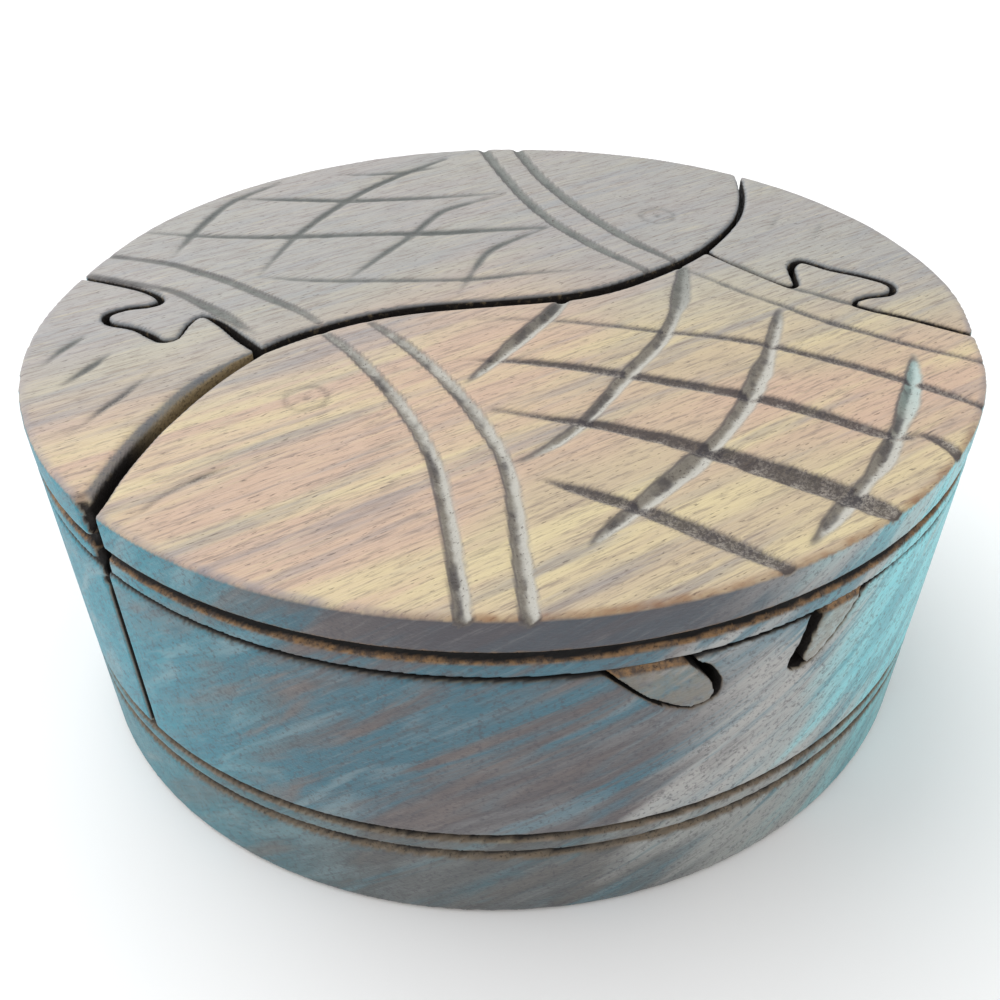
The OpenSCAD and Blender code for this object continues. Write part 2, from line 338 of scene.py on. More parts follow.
RIGHT_TAIL_LINES = [
    [(27.6, 9, 0.7, 0.3), (34.3, -0.4, 1, 0.4), (38.8, -5.8, 1.1, 0.4),
     (42.4, -10.2, 1.2, 0.5), (49, -16.7, 1.2, 0.5), (56, -22.6, 1.1, 0.4),
     (62, -27.4, 1, 0.4)],
    [(34.4, 11.2, 0.8, 0.3), (37.2, 6.9, 1, 0.4), (41.6, -0.2, 1.1, 0.4),
     (44.6, -3.2, 1.1, 0.4), (49, -7.4, 1.1, 0.4), (52.7, -10.4, 1, 0.3),
     (60.4, -17.4, 1, 0.3)],
]
LEFT_FIN = [
    [(-62.9, -4.4, 0.4, 0.1), (-61, -0.3, 1.2, 0.35), (-58.9, 2.6, 1.4, 0.4),
     (-56.6, 5.3, 0.3, 0.1)],
    [(-60.1, -9.4, 0.3, 0.1), (-58.1, -6.6, 1.2, 0.35), (-56, -4.1, 1.6, 0.45),
     (-54.4, -1.8, 1.1, 0.3), (-52.8, 0.1, 0.3, 0.1)],
    [(-58.1, -20.2, 0.3, 0.1), (-55.3, -16.8, 0.9, 0.25), (-53.3, -14.1, 1.3, 0.4),
     (-51.4, -11.8, 1.3, 0.4), (-49, -8.3, 0.9, 0.25), (-45.5, -3.8, 0.3, 0.1)],
]
RIGHT_FIN = [
    [(45, 16, 0.4, 0.1), (48, 20.4, 0.9, 0.25), (51.8, 25, 0.5, 0.15)],
    [(50.4, 11.6, 0.4, 0.1), (53.4, 16, 0.9, 0.25), (56.8, 20.8, 0.5, 0.15)],
    [(56.2, 9.8, 0.4, 0.1), (58, 12, 0.8, 0.2), (60, 14, 0.4, 0.1)],
]
HEAD_CRACKS = [
    [(-49.6, -37.6, 0.5, 0.15), (-47.3, -35.1, 0.7, 0.3), (-45.2, -32.9, 0.8, 0.35),
     (-42.9, -31.4, 0.9, 0.35), (-40.6, -30.2, 1.1, 0.4), (-37.7, -28.7, 0.5, 0.15)],
    [(-48.7, -38.1, 0.4, 0.1), (-42.8, -34.8, 0.6, 0.2), (-36.5, -32.3, 0.6, 0.2),
     (-35.4, -30.4, 0.6, 0.16), (-35.6, -29.1, 0.4, 0.1)],
]
EYES = [(-28.7, -16.6), (30.2, 26.2)]
EYE_RADIUS = 2.7

# Bites out of the left tail's corner beside the upright cut: x, y, z and radius.
CORNER_CHIPS = [
    (-54.4 * LENGTH_SCALE, -32.6 * WIDTH_SCALE, TOP + 0.2, 1.9),
    (-54.2 * LENGTH_SCALE, -33.2 * WIDTH_SCALE, TOP - 3, 1.2),
    (-54 * LENGTH_SCALE, -33.4 * WIDTH_SCALE, RIM_GROOVE[0], 1.5),
    (-54 * LENGTH_SCALE, -33.4 * WIDTH_SCALE, LID_BOTTOM + 0.6, 1.3),
    (-54.2 * LENGTH_SCALE, -33.4 * WIDTH_SCALE, WALL_TOP - 2.4, 0.9),
]


def smooth_line(line, pieces=8):
    """A carved line as many short runs along a smooth curve through its points."""
    p = np.array(line, float) * (LENGTH_SCALE, WIDTH_SCALE, LENGTH_SCALE, HEIGHT_SCALE)
    out = []
    for i in range(len(p) - 1):
        a, b, c, d = p[max(i - 1, 0)], p[i], p[i + 1], p[min(i + 2, len(p) - 1)]
        for k in range(pieces):
            t = k / pieces
            out.append(
                0.5 * (2 * b + (c - a) * t + (2 * a - 5 * b + 4 * c - d) * t * t
                       + (3 * b - a - 3 * c + d) * t ** 3)
            )
    out.append(p[-1])
    return np.array(out)


def carve(depth, x, y, line, sharp):
    """Deepens the depth map along one carved line; sharp 1 is a V and 2 is a round gouge."""
    curve = smooth_line(line)
    for start, end in zip(curve[:-1], curve[1:]):
        reach = max(start[2], end[2]) / 2 + 0.6
        i = np.nonzero((x > min(start[0], end[0]) - reach) & (x < max(start[0], end[0]) + reach))[0]
        j = np.nonzero((y > min(start[1], end[1]) - reach) & (y < max(start[1], end[1]) + reach))[0]
        if not len(i) or not len(j):
            continue
        window = np.ix_(i, j)
        px, py = np.meshgrid(x[i], y[j], indexing="ij")
        run = end[:2] - start[:2]
        share = ((px - start[0]) * run[0] + (py - start[1]) * run[1]) / max(run @ run, 1e-9)
        share = np.clip(share, 0, 1)
        away = np.hypot(px - start[0] - share * run[0], py - start[1] - share * run[1])
        width = start[2] + share * (end[2] - start[2])
        width = width * (0.94 + 0.14 * soft_noise(px, py, 1.7, 11))
        deep = start[3] + share * (end[3] - start[3])
        deep = deep * (1 + 0.2 * soft_noise(px, py, 0.9, 12))
        cut = deep * np.clip(1 - (2 * away / width) ** sharp, 0, None)
        depth[window] = np.maximum(depth[window], cut)


def scribe_eye(depth, x, y, eye):
    """A thin scratched ring with a pricked dot in the middle."""
    px, py = np.meshgrid(x - eye[0] * LENGTH_SCALE, y - eye[1] * WIDTH_SCALE, indexing="ij")
    away = np.hypot(px, py) + 0.25 * soft_noise(px, py, 1.2, 21)
    ring = 0.22 * np.clip(1 - (np.abs(away - EYE_RADIUS) / 0.42) ** 2, 0, None)
    dot = 0.4 * np.clip(1 - (away / 0.45) ** 2, 0, None)
    np.maximum(depth, np.maximum(ring, dot), out=depth)


# ---- pieces from fields -----------------------------------------------------------------
def node_grid(node, step):
    corner_low, corner_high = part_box(node)
    return [steps(corner_low[a] / MM, corner_high[a] / MM, step) for a in range(3)]


def oval_field(x, y):
    """The oval outline, a little flatter where it has been sanded down beside two cuts."""
    px, py = np.meshgrid(x, y, indexing="ij")
    field = outline_field(plan_section("base", BASE_TOP / 3), x, y)
    for spot_x, spot_y, wear, reach in SANDED:
        away = np.hypot(px - spot_x * LENGTH_SCALE, py - spot_y * WIDTH_SCALE)
        field = field + wear * np.exp(-((away / reach) ** 2))
    return field


def add_mesh(name, node, body, field, grid, marks):
    """A piece on a body, in place of a CAD node, with its marks as point attributes."""
    points, faces = surface_net(field, *grid)
    mesh = bpy.data.meshes.new(name)
    mesh.vertices.add(len(points))
    mesh.vertices.foreach_set("co", (points * MM).ravel())
    mesh.loops.add(faces.size)
    mesh.loops.foreach_set("vertex_index", faces.ravel())
    mesh.polygons.add(len(faces))
    mesh.polygons.foreach_set("loop_start", np.arange(0, faces.size, 4))
    mesh.polygons.foreach_set("loop_total", np.full(len(faces), 4))
    mesh.polygons.foreach_set("use_smooth", np.ones(len(faces), bool))
    mesh.update(calc_edges=True)
    mesh.validate()
    normals = np.zeros(len(points) * 3)
    mesh.vertex_normals.foreach_get("vector", normals)
    for mark, values in marks(points, normals.reshape(-1, 3)).items():
        layer = mesh.attributes.new(mark, "FLOAT", "POINT")
        layer.data.foreach_set("value", np.clip(values, 0, 1).astype(np.float32))
    piece = bpy.data.objects.new(name, mesh)
    bpy.context.scene.collection.objects.link(piece)
    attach(piece, body)
    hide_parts(node)
    return piece


def ramp(value, start, end):
    """0 before start, 1 past end, smooth between; start may be the larger."""
    share = np.clip((value - start) / (end - start), 0, 1)
    return share * share * (3 - 2 * share)


def facing_out(px, py, normals):
    """1 where the surface faces out of the oval's side."""
    out = np.stack([px / HALF_LENGTH ** 2, py / HALF_WIDTH ** 2], 1)
    out /= np.linalg.norm(out, axis=1)[:, None] + 1e-9
    return ramp((normals[:, :2] * out).sum(1), 0.25, 0.6)


def side_marks(points, at_rim, hooks):
    """Where the grooves are, how much painted shade blackens their deep parts and the cut under the
    lid, and the hooks.
    """
    px, py, pz = points.T
    groove = np.zeros(len(px))
    for middle, half in GROOVE_BANDS:
        groove = np.maximum(groove, ramp(np.abs(pz - middle), half + 0.15, half - 0.1))
    groove *= ramp(at_rim, -0.06, -0.2) * ramp(at_rim, -2.2, -1.6)
    wander = 0.16 * soft_noise(px + py, pz, 1.4, 61) + 0.1 * soft_noise(px - py, pz, 5, 62)
    # Painted shade: the deep part of each groove is coloured black.
    black = groove * ramp(at_rim + wander, -0.42, -0.66)
    # Painted shade: the saw cut under the lid is coloured black as well.
    cut = ramp(np.abs(pz - LID_CUT_Z), 0.9, 0.6) * ramp(at_rim, -0.1, -0.3)
    hook = np.zeros(len(px))
    if hooks:
        hook = ramp(pz, LID_BOTTOM - 0.1, LID_BOTTOM - 0.3)
        brown = ramp(pz, LID_BOTTOM - 1.7, LID_BOTTOM - 1.4) * ramp(at_rim, -0.05, -0.15)
        groove = np.maximum(groove, hook * brown)
        cut = cut * ramp(pz, LID_BOTTOM - 0.5, LID_BOTTOM - 0.3)
    return groove, np.maximum(black, cut * (at_rim > -3)), hook


def marks_for(x, y, rim, pale, dark, hooks=False):
    """What the wood looks like at each point: carved, sawn, outer side or groove."""

    def marks(points, normals):
        px, py, pz = points.T
        at_rim = sample(rim, x, y, px, py)
        at_pale, at_dark = sample(pale, x, y, px, py), sample(dark, x, y, px, py)
        carved = np.maximum(np.maximum(at_pale, at_dark), 0)
        uncarved_z = pz + carved
        groove, black, hook = side_marks(points, at_rim, hooks)
        top = ramp(normals[:, 2], 0.3, 0.6) * ramp(uncarved_z, TOP - 1.3, TOP - 0.8)
        outer = facing_out(px, py, normals) * ramp(at_rim, -0.5, -0.16) * (1 - top)
        round_edge = ramp(normals[:, 2], 0.97, 0.8) * ramp(uncarved_z, TOP - 2.4, TOP - 1.6)
        bare = ramp(py / WIDTH_SCALE, -24, -15) * (py < -4) * ramp(px, -33, -35)
        return {
            "pale": ramp(at_pale, 0.02, 0.22) * top,
            "dark": ramp(at_dark, 0.02, 0.25) * top * (at_dark > at_pale - 0.1),
            "flank": groove,
            "black": black,
            # Painted shade in the groove bottoms and the cut under the lid.
            "outer": outer,
            "sawn": np.clip(1 - top - outer, 0, 1) * (1 - groove),
            "edge": ramp(at_rim, -1.3, -0.3) * ramp(pz, TOP - 1.1, TOP - 0.35),
            "worn": round_edge * ramp(at_rim, -1, -2) * (carved < 0.03),
            "hook": hook * outer,
            "bare": bare,
            # Depth below the top, for the painted shade down in the saw cuts.
            "down": np.clip((TOP - pz) / 8, 0, 1),
            "inside": ramp(at_rim, -5, -8) * ramp(pz, LID_BOTTOM + 0.4, LID_BOTTOM - 0.1),
            # Painted light and shade: how far the surface leans towards the lamp behind and to the
            # left, which colours carved walls pale or dark.
            "lit": 0.5 + 1.1 * (0.78 * normals[:, 1] - 0.63 * normals[:, 0]),
        }

    return marks


def board_field(grid, plan, rim, depth, edge):
    """A lid board between the saw cut under it and its carved top."""
    x, y, z = grid
    height = z[None, None, :]
    wave = 0.08 * soft_noise(*np.meshgrid(x, y, indexing="ij"), 9, 31)
    top = TOP - 0.05 - depth - np.abs(wave)
    field = round_join(plan[..., None], height - top[..., None], edge[..., None])
    field = round_join(field, LID_BOTTOM - height, LID_UNDER_EDGE)
    field = np.maximum(field, rim[..., None])
    return np.maximum(field, v_groove(rim[..., None], height, *RIM_GROOVE))


def slide_places(x, y, way):
    px, py = np.meshgrid(x, y, indexing="ij")
    return px * way * ACROSS[0] + py * way * ACROSS[1], px * way * SLIDE[0] + py * way * SLIDE[1]


def section_over(grid, node, way):
    """A node's section across its slide, spread over the whole grid."""
    x, y, z = grid
    t = np.arange(-HOOK_ZONE - 8, HOOK_ZONE + 8, 0.2)
    flat = outline_field(slide_section(node, way), t, z)
    across, along = slide_places(x, y, way)
    out = np.empty((len(x), len(y), len(z)))
    for k in range(len(z)):
        out[..., k] = sample(flat, t, z, across, np.full(across.shape, z[k]))
    return out, across, along


def softened(depth):
    """The depth map with its sharpest steps smoothed, so that edges don't look stepped."""
    for axis in (0, 1):
        before, after = np.roll(depth, 1, axis), np.roll(depth, -1, axis)
        depth = (before + 2 * depth + after) / 4
    return depth


def depth_maps(x, y, gouges, cuts, scratches):
    """How deep the round gouges and the rougher V cuts go, over the top of the lid."""
    pale, dark = np.zeros((len(x), len(y))), np.zeros((len(x), len(y)))
    for line in gouges:
        carve(pale, x, y, line, 1.8)
    for line in cuts:
        carve(dark, x, y, line, 1.7)
    for line in scratches:
        carve(dark, x, y, line, 1.2)
    for eye in EYES:
        scribe_eye(dark, x, y, eye)
    return softened(pale), softened(dark)


def fish_lid(name, node, body, way, gouges, cuts, scratches):
    """A fish's lid board with its carving and the two hooks under it."""
    grid = node_grid(node, LID_STEP)
    x, y, z = grid
    plan = outline_field(plan_section(node, TOP - 2), x, y)
    rim = oval_field(x, y)
    pale, dark = depth_maps(x, y, gouges, cuts, scratches)
    depth = np.maximum(pale, dark)
    edge = 0.45 + 0.2 * soft_noise(*np.meshgrid(x, y, indexing="ij"), 6, 41)
    field = board_field(grid, plan, rim, depth, edge)
    profile, across, along = section_over(grid, node, way)
    height = z[None, None, :]
    in_ring = np.maximum(rim, -rim - WALL_THICK)[..., None]
    hooks = np.maximum(profile, height - LID_BOTTOM - ROOT)
    hooks = round_join(hooks, in_ring, SAWN_EDGE)
    hooks = np.maximum(hooks, v_groove(rim[..., None], height, *HOOK_LIP))
    wrong_place = (np.abs(across) > HOOK_ZONE) | (along < 0)
    hooks[wrong_place] = FAR
    field = np.minimum(field, hooks)
    return add_mesh(name, node, body, field, grid, marks_for(x, y, rim, pale, dark, True))


def tail_key(name, node, body, cuts, scratches, soft_edge, chips):
    """A tail: its lid board and the stretch of wall under it, one piece of wood."""
    grid = node_grid(node, LID_STEP)
    x, y, z = grid
    plan = outline_field(plan_section(node, TOP - 2), x, y)
    wall = outline_field(plan_section(node, (BASE_TOP + WALL_TOP) / 2), x, y)
    rim = oval_field(x, y)
    pale, dark = depth_maps(x, y, [], cuts, scratches)
    depth = np.maximum(pale, dark)
    px, py = np.meshgrid(x, y, indexing="ij")
    inland = np.clip((-rim - 0.5) / 1.5, 0, 1)
    edge = 0.5 + soft_edge(px, py) * inland + 0.2 * soft_noise(px, py, 5, 51)
    field = board_field(grid, plan, rim, depth, edge)
    height = z[None, None, :]
    column = round_join(wall[..., None], BASE_TOP - height, KEY_FOOT_EDGE)
    column = np.maximum(column, height - LID_BOTTOM - ROOT)
    field = np.minimum(field, column)
    field = np.maximum(field, rim[..., None])
    field = np.maximum(field, v_groove(rim[..., None], height, *TAIL_LIP))
    field = np.maximum(field, v_groove(rim[..., None], height, *BASE_GROOVE))
    for cx, cy, cz, radius in chips:
        away = np.sqrt((px[..., None] - cx) ** 2 + (py[..., None] - cy) ** 2 + (height - cz) ** 2)
        rough = 0.3 * soft_noise(px, py + cz, 0.8, 71)[..., None]
        field = np.maximum(field, radius + rough - away)
    return add_mesh(name, node, body, field, grid, marks_for(x, y, rim, pale, dark))


def head_gap_edge(x, y):
    """The left tail's edge is worn round all along the gap beside the front fish's head."""
    return 1.1 * ramp(y, -5, -10)


def plain_edge(x, y):
    return np.zeros(x.shape)


def wall_piece(name, node, way):
    """An arc of the wall, with the dovetail pockets sawn through it."""
    grid = node_grid(node, WALL_STEP)
    x, y, z = grid
    plan = outline_field(plan_section(node, (BASE_TOP + WALL_TOP) / 2 - 8), x, y)
    rim = oval_field(x, y)
    height = z[None, None, :]
    across, along = slide_places(x, y, way)
    beyond_hook = (along > 0) & (way > 0)
    closed = CLOSED_LIFT * ramp(across, -4, 0) * ramp(across, 30, 20) * beyond_hook
    wall_top = WALL_TOP + closed * ramp(rim, -2.5, -1)
    field = round_join(plan[..., None], height - wall_top[..., None], SAWN_EDGE)
    field = round_join(field, BASE_TOP - height, SAWN_EDGE)
    profile, across, along = section_over(grid, node, way)
    wrong_place = (np.abs(across) > HOOK_ZONE) | (along < 0)
    profile[wrong_place] = -FAR
    field = np.maximum(field, profile)
    field = np.maximum(field, rim[..., None])
    field = np.maximum(field, v_groove(rim[..., None], height, *BASE_GROOVE))
    open_rim = np.where(closed > 0.05, rim - FAR, rim)
    field = np.maximum(field, v_groove(open_rim[..., None], height, *WALL_LIP))
    uncarved = np.full(rim.shape, -float(FAR))
    marks = marks_for(x, y, rim, uncarved, uncarved)
    return add_mesh(name, node, "box", field, grid, marks)


def bottom_plate():
    """The thick bottom plate with its two turned grooves and softened foot."""
    grid = node_grid("base", BASE_STEP)
    x, y, z = grid
    rim = oval_field(x, y)
    height = z[None, None, :]
    field = round_join(rim[..., None], height - BASE_TOP, SAWN_EDGE)
    field = round_join(field, -height, FOOT_EDGE)
    field = np.maximum(field, v_groove(rim[..., None], height, *BASE_GROOVE))
    field = np.maximum(field, v_groove(rim[..., None], height, *FOOT_GROOVE))
    uncarved = np.full(rim.shape, -float(FAR))
    marks = marks_for(x, y, rim, uncarved, uncarved)
    return add_mesh("bottom_plate", "base", "box", field, grid, marks)


# ---- materials --------------------------------------------------------------------------
class Shader:
    """Short calls for adding nodes to one material."""

    def __init__(self, name):
        self.material = bpy.data.materials.new(name)
        self.material.use_nodes = True
        self.tree = self.material.node_tree
        self.surface = self.tree.nodes["Principled BSDF"]

    def add(self, kind, **settings):
        node = self.tree.nodes.new(kind)
        for key, value in settings.items():
            setattr(node, key, value)
        return node

    def link(self, source, target):
        self.tree.links.new(source, target)

    def put(self, socket, value):
        if hasattr(value, "is_linked"):
            self.link(value, socket)
        else:
            socket.default_value = value

    def mark(self, name):
        return self.add("ShaderNodeAttribute", attribute_name=name).outputs["Fac"]

    def place(self):
        return self.add("ShaderNodeTexCoord").outputs["Object"]

    def turned(self, vector, turn, scale, shift=(0, 0, 0)):
        """Coordinates turned first and then stretched."""
        spin = self.add("ShaderNodeMapping")
        self.put(spin.inputs["Vector"], vector)
        spin.inputs["Rotation"].default_value = turn
        spin.inputs["Location"].default_value = shift
        stretch = self.add("ShaderNodeMapping")
        self.link(spin.outputs[0], stretch.inputs["Vector"])
        stretch.inputs["Scale"].default_value = scale
        return stretch.outputs[0]

    def noise(self, vector, scale, detail=4, rough=0.55, distort=0.0):
        node = self.add("ShaderNodeTexNoise")
        self.put(node.inputs["Vector"], vector)
        node.inputs["Scale"].default_value = scale
        node.inputs["Detail"].default_value = detail
        node.inputs["Roughness"].default_value = rough
        node.inputs["Distortion"].default_value = distort
        return node.outputs["Fac"]

    def fade(self, value, low_end, high_end, low_out=0.0, high_out=1.0):
        node = self.add("ShaderNodeMapRange", interpolation_type="SMOOTHSTEP")
        self.put(node.inputs["Value"], value)
        node.inputs["From Min"].default_value = low_end
        node.inputs["From Max"].default_value = high_end
        node.inputs["To Min"].default_value = low_out
        node.inputs["To Max"].default_value = high_out
        return node.outputs["Result"]

    def sum(self, a, b, how="ADD"):
        node = self.add("ShaderNodeMath", operation=how)
        self.put(node.inputs[0], a)
        self.put(node.inputs[1], b)
        return node.outputs[0]

    def mix(self, share, a, b, how="MIX"):
        node = self.add("ShaderNodeMix", data_type="RGBA", blend_type=how)
        self.put(node.inputs[0], share)
        self.put(node.inputs[6], a)
        self.put(node.inputs[7], b)
        return node.outputs[2]

    def part(self, vector, axis):
        node = self.add("ShaderNodeSeparateXYZ")
        self.put(node.inputs[0], vector)
        return node.outputs[axis]

    def grains(self):
        """The place on the piece, and the speckles of three sizes that the wood uses."""
        self.at = self.place()
        self.speck = self.noise(self.at, 2400, 3, 0.7)
        self.crumb = self.noise(self.at, 1000, 3, 0.6)
        self.blotch = self.noise(self.at, 240, 3, 0.6)


def colour(red, green, blue):
    """A display colour from 0 to 255 as the linear colour that a shader takes."""
    out = []
    for value in (red, green, blue):
        share = value / 255
        out.append(share / 12.92 if share < 0.04045 else ((share + 0.055) / 1.055) ** 2.4)
    return (*out, 1.0)


GRAIN_TURN = math.radians(-22)
SIDE_TURN = math.radians(30)

LID_YELLOW = colour(207, 192, 150)
LID_TAN = colour(188, 170, 142)
LID_PINK = colour(194, 166, 144)
LID_VIOLET = colour(134, 130, 134)
# Grey of the cast over the back fish, partly stain and partly painted sheen.
LID_STAIN_AND_SHEEN = colour(150, 154, 157)
LID_FIBRE = colour(122, 108, 100)
PORE = colour(66, 54, 50)
# Lit and shaded colours of the carved walls for the painted light; CUT_DARK also paints shade at
# gouge edges and in patches.
GOUGE_PALE = colour(184, 182, 174)
GOUGE_DARK = colour(130, 124, 114)
CUT_PALE = colour(170, 164, 156)
CUT_DARK = colour(62, 58, 62)
SAWN_LIGHT = colour(140, 122, 92)
# SAWN_DARK is the dark speckle of sawn wood and also the painted shade deep in the cuts.
SAWN_DARK = colour(26, 20, 17)
FLANK_LIGHT = colour(142, 110, 76)
FLANK_DARK = colour(84, 70, 60)
# Black of the painted shade in the groove bottoms and the saw cut under the lid.
SHADE_BLACK = colour(10, 8, 8)
SIDE_GREY = colour(112, 104, 102)
SIDE_DARK = colour(74, 72, 78)
FOOT_SHADE = colour(80, 96, 92)
SIDE_TEAL = colour(44, 96, 114)
TEAL_LEFT = colour(54, 140, 158)
TEAL_DEEP = colour(62, 122, 140)
TEAL_RIGHT = colour(132, 214, 222)
PALE_RIGHT = colour(172, 171, 168)
EDGE_BROWN = colour(138, 96, 62)
EDGE_LILAC = colour(140, 134, 138)
EDGE_WORN = colour(100, 108, 116)
FLANK_LOW = colour(106, 97, 84)
BARE_WOOD = colour(158, 140, 108)
INSIDE_WOOD = colour(142, 118, 90)
INSIDE_DARK = colour(98, 80, 62)
HOOK_WOOD = colour(132, 126, 112)
BACK_LINE = colour(100, 106, 104)


def back_stain_and_sheen(s):
    """Where the grey cast lies, partly stain and partly painted sheen: 0 over the front fish and 1
    over the back one and the tails, wandering between.
    """
    wander = s.sum(s.noise(s.at, 26, 2), 0.02, "MULTIPLY")
    ends = s.sum(s.sum(s.part(s.at, 0), 0, "ABSOLUTE"), 0.25, "MULTIPLY")
    place = s.sum(s.sum(s.part(s.at, 1), ends), wander)
    return s.fade(place, -0.002, 0.032)


def lid_colour(s, haze):
    """Streaked top wood: yellow and pink with grey-violet streaks, fibres and pores."""
    grain = (0, 0, GRAIN_TURN)
    broad = s.noise(s.turned(s.at, grain, (1, 9, 9)), 15, 4, 0.55, 0.5)
    second = s.noise(s.turned(s.at, grain, (1, 13, 13), (0.3, 0.1, 0)), 22, 5, 0.6)
    warm = s.noise(s.turned(s.at, grain, (1, 1.8, 2), (0.7, 0.4, 0)), 22, 2, 0.5)
    fine = s.noise(s.turned(s.at, grain, (1, 20, 20)), 90, 5, 0.7)
    thread = s.noise(s.turned(s.at, grain, (1, 9, 9), (0.1, 0.5, 0)), 300, 3, 0.6)
    pore = s.noise(s.turned(s.at, grain, (1, 5, 5), (0.2, 0.6, 0)), 760, 2, 0.5)
    tint = s.mix(s.fade(warm, 0.42, 0.6), LID_TAN, LID_PINK)
    tint = s.mix(s.fade(broad, 0.44, 0.66, 0, 0.85), tint, LID_YELLOW)
    tint = s.mix(s.fade(second, 0.48, 0.72, 0, 0.75), tint, LID_VIOLET)
    # Partly grey stain, partly painted sheen: the top greys over the back fish and the tails.
    tint = s.mix(s.sum(haze, 0.8, "MULTIPLY"), tint, LID_STAIN_AND_SHEEN)
    tint = s.mix(s.fade(fine, 0.5, 0.7, 0, 0.55), tint, LID_FIBRE)
    tint = s.mix(s.fade(fine, 0.48, 0.3, 0, 0.3), tint, LID_YELLOW)
    tint = s.mix(s.fade(thread, 0.5, 0.68, 0, 0.5), tint, LID_FIBRE)
    return s.mix(s.fade(pore, 0.62, 0.72, 0, 0.6), tint, PORE)


def round_the_side(s):
    """Coordinates that run on along the wall round both ends of the oval."""
    x, y = s.part(s.at, 0), s.part(s.at, 1)
    room = s.sum(HALF_WIDTH * MM, s.sum(y, 0, "ABSOLUTE"), "SUBTRACT")
    end = s.fade(x, -0.045 * LENGTH_SCALE, 0.045 * LENGTH_SCALE, -1, 1)
    joined = s.add("ShaderNodeCombineXYZ")
    s.link(s.sum(x, s.sum(room, end, "MULTIPLY")), joined.inputs[0])
    s.link(y, joined.inputs[1])
    s.link(s.part(s.at, 2), joined.inputs[2])
    return joined.outputs[0]


def shaded_bands(s, tint):
    """Darkens the rim above its groove, in the middle only, and the foot all round."""
    x, z = s.part(s.at, 0), s.part(s.at, 2)
    above = s.fade(z, RIM_GROOVE[0] * MM, (RIM_GROOVE[0] + 1) * MM, 0, 0.85)
    from_right = s.fade(x, 0.03 * LENGTH_SCALE, 0.008 * LENGTH_SCALE)
    from_left = s.fade(x, -0.04 * LENGTH_SCALE, -0.018 * LENGTH_SCALE)
    middle = s.sum(from_right, from_left, "MULTIPLY")
    tint = s.mix(s.sum(above, middle, "MULTIPLY"), tint, SIDE_DARK)
    foot = s.fade(z, (BASE_TOP + 1) * MM, (BASE_TOP - 1) * MM, 0, 0.35)
    return s.mix(foot, tint, FOOT_SHADE)


def side_colour(s):
    """Dark side wood that turns teal towards both ends of the oval."""
    run, slope = round_the_side(s), (0, SIDE_TURN, 0)
    broad = s.noise(s.turned(run, slope, (1, 1, 5)), 26, 4, 0.55, 0.8)
    streak = s.noise(s.turned(run, slope, (1, 1, 8), (0.5, 0.2, 0)), 24, 4, 0.6, 0.6)
    fine = s.noise(s.turned(run, slope, (1, 2, 16)), 120, 5, 0.7)
    dot = s.noise(s.at, 1500, 3, 0.7)
    x = s.sum(s.part(s.at, 0), s.sum(s.sum(broad, -0.5), 0.05, "MULTIPLY"))
    tint = s.mix(s.fade(broad, 0.38, 0.6), SIDE_DARK, SIDE_GREY)
    tint = s.mix(s.fade(x, 0.002 * LENGTH_SCALE, 0.015 * LENGTH_SCALE), tint, PALE_RIGHT)
    tint = s.mix(s.fade(streak, 0.52, 0.64, 0, 0.7), tint, SIDE_TEAL)
    tint = s.mix(s.fade(x, -0.027 * LENGTH_SCALE, -0.054 * LENGTH_SCALE), tint, TEAL_LEFT)
    tint = s.mix(s.fade(x, 0.018 * LENGTH_SCALE, 0.047 * LENGTH_SCALE), tint, TEAL_RIGHT)
    tint = s.mix(s.fade(streak, 0.46, 0.62, 0, 0.4), tint, TEAL_DEEP)
    tint = s.mix(s.fade(broad, 0.5, 0.36, 0, 0.3), tint, PALE_RIGHT)
    tint = shaded_bands(s, tint)
    tint = s.mix(s.fade(fine, 0.5, 0.72, 0, 0.5), tint, SIDE_DARK)
    tint = s.mix(s.fade(fine, 0.48, 0.3, 0, 0.14), tint, PALE_RIGHT)
    tint = s.mix(s.fade(dot, 0.5, 0.68, 0, 0.6), tint, SIDE_DARK)
    worn_hook = s.sum(s.mark("hook"), s.fade(s.crumb, 0.3, 0.6, 0.15, 0.6), "MULTIPLY")
    return s.mix(worn_hook, tint, HOOK_WOOD)


def gouge_colour(s, haze):
    """Smooth round gouges in painted light and shade: pale where the wall leans to the light,
    darker on the other wall, with blotchy patches of painted shade there.
    """
    lean = s.sum(s.mark("lit"), s.fade(s.crumb, 0.3, 0.7, -0.12, 0.12))
    tint = s.mix(s.fade(lean, 0.05, 0.85), GOUGE_DARK, GOUGE_PALE)
    teal = s.fade(s.part(s.at, 0), 0.036 * LENGTH_SCALE, 0.056 * LENGTH_SCALE, 0, 0.35)
    tint = s.mix(teal, tint, TEAL_RIGHT)
    # Painted shade: dark patches only on the wall turned away from the light.
    patch, away = s.fade(s.blotch, 0.44, 0.68, 0, 0.75), s.fade(s.mark("lit"), 0.9, 0.4)
    tint = s.mix(s.sum(patch, away, "MULTIPLY"), tint, CUT_DARK)
    tint = s.mix(s.sum(haze, 0.8, "MULTIPLY"), tint, BACK_LINE)
    return s.mix(s.fade(s.speck, 0.58, 0.68, 0, 0.7), tint, PORE)


def rough_cut_colour(s, haze):
    """Rough cuts in painted light and shade: dark, speckled paler on the wall that leans to the
    light.
    """
    lean = s.sum(s.mark("lit"), s.fade(s.speck, 0.3, 0.7, -0.3, 0.3))
    tint = s.mix(s.fade(lean, 0.35, 1.05), CUT_DARK, CUT_PALE)
    tint = s.mix(s.sum(haze, 0.8, "MULTIPLY"), tint, BACK_LINE)
    return s.mix(s.fade(s.speck, 0.56, 0.66, 0, 0.7), tint, PORE)


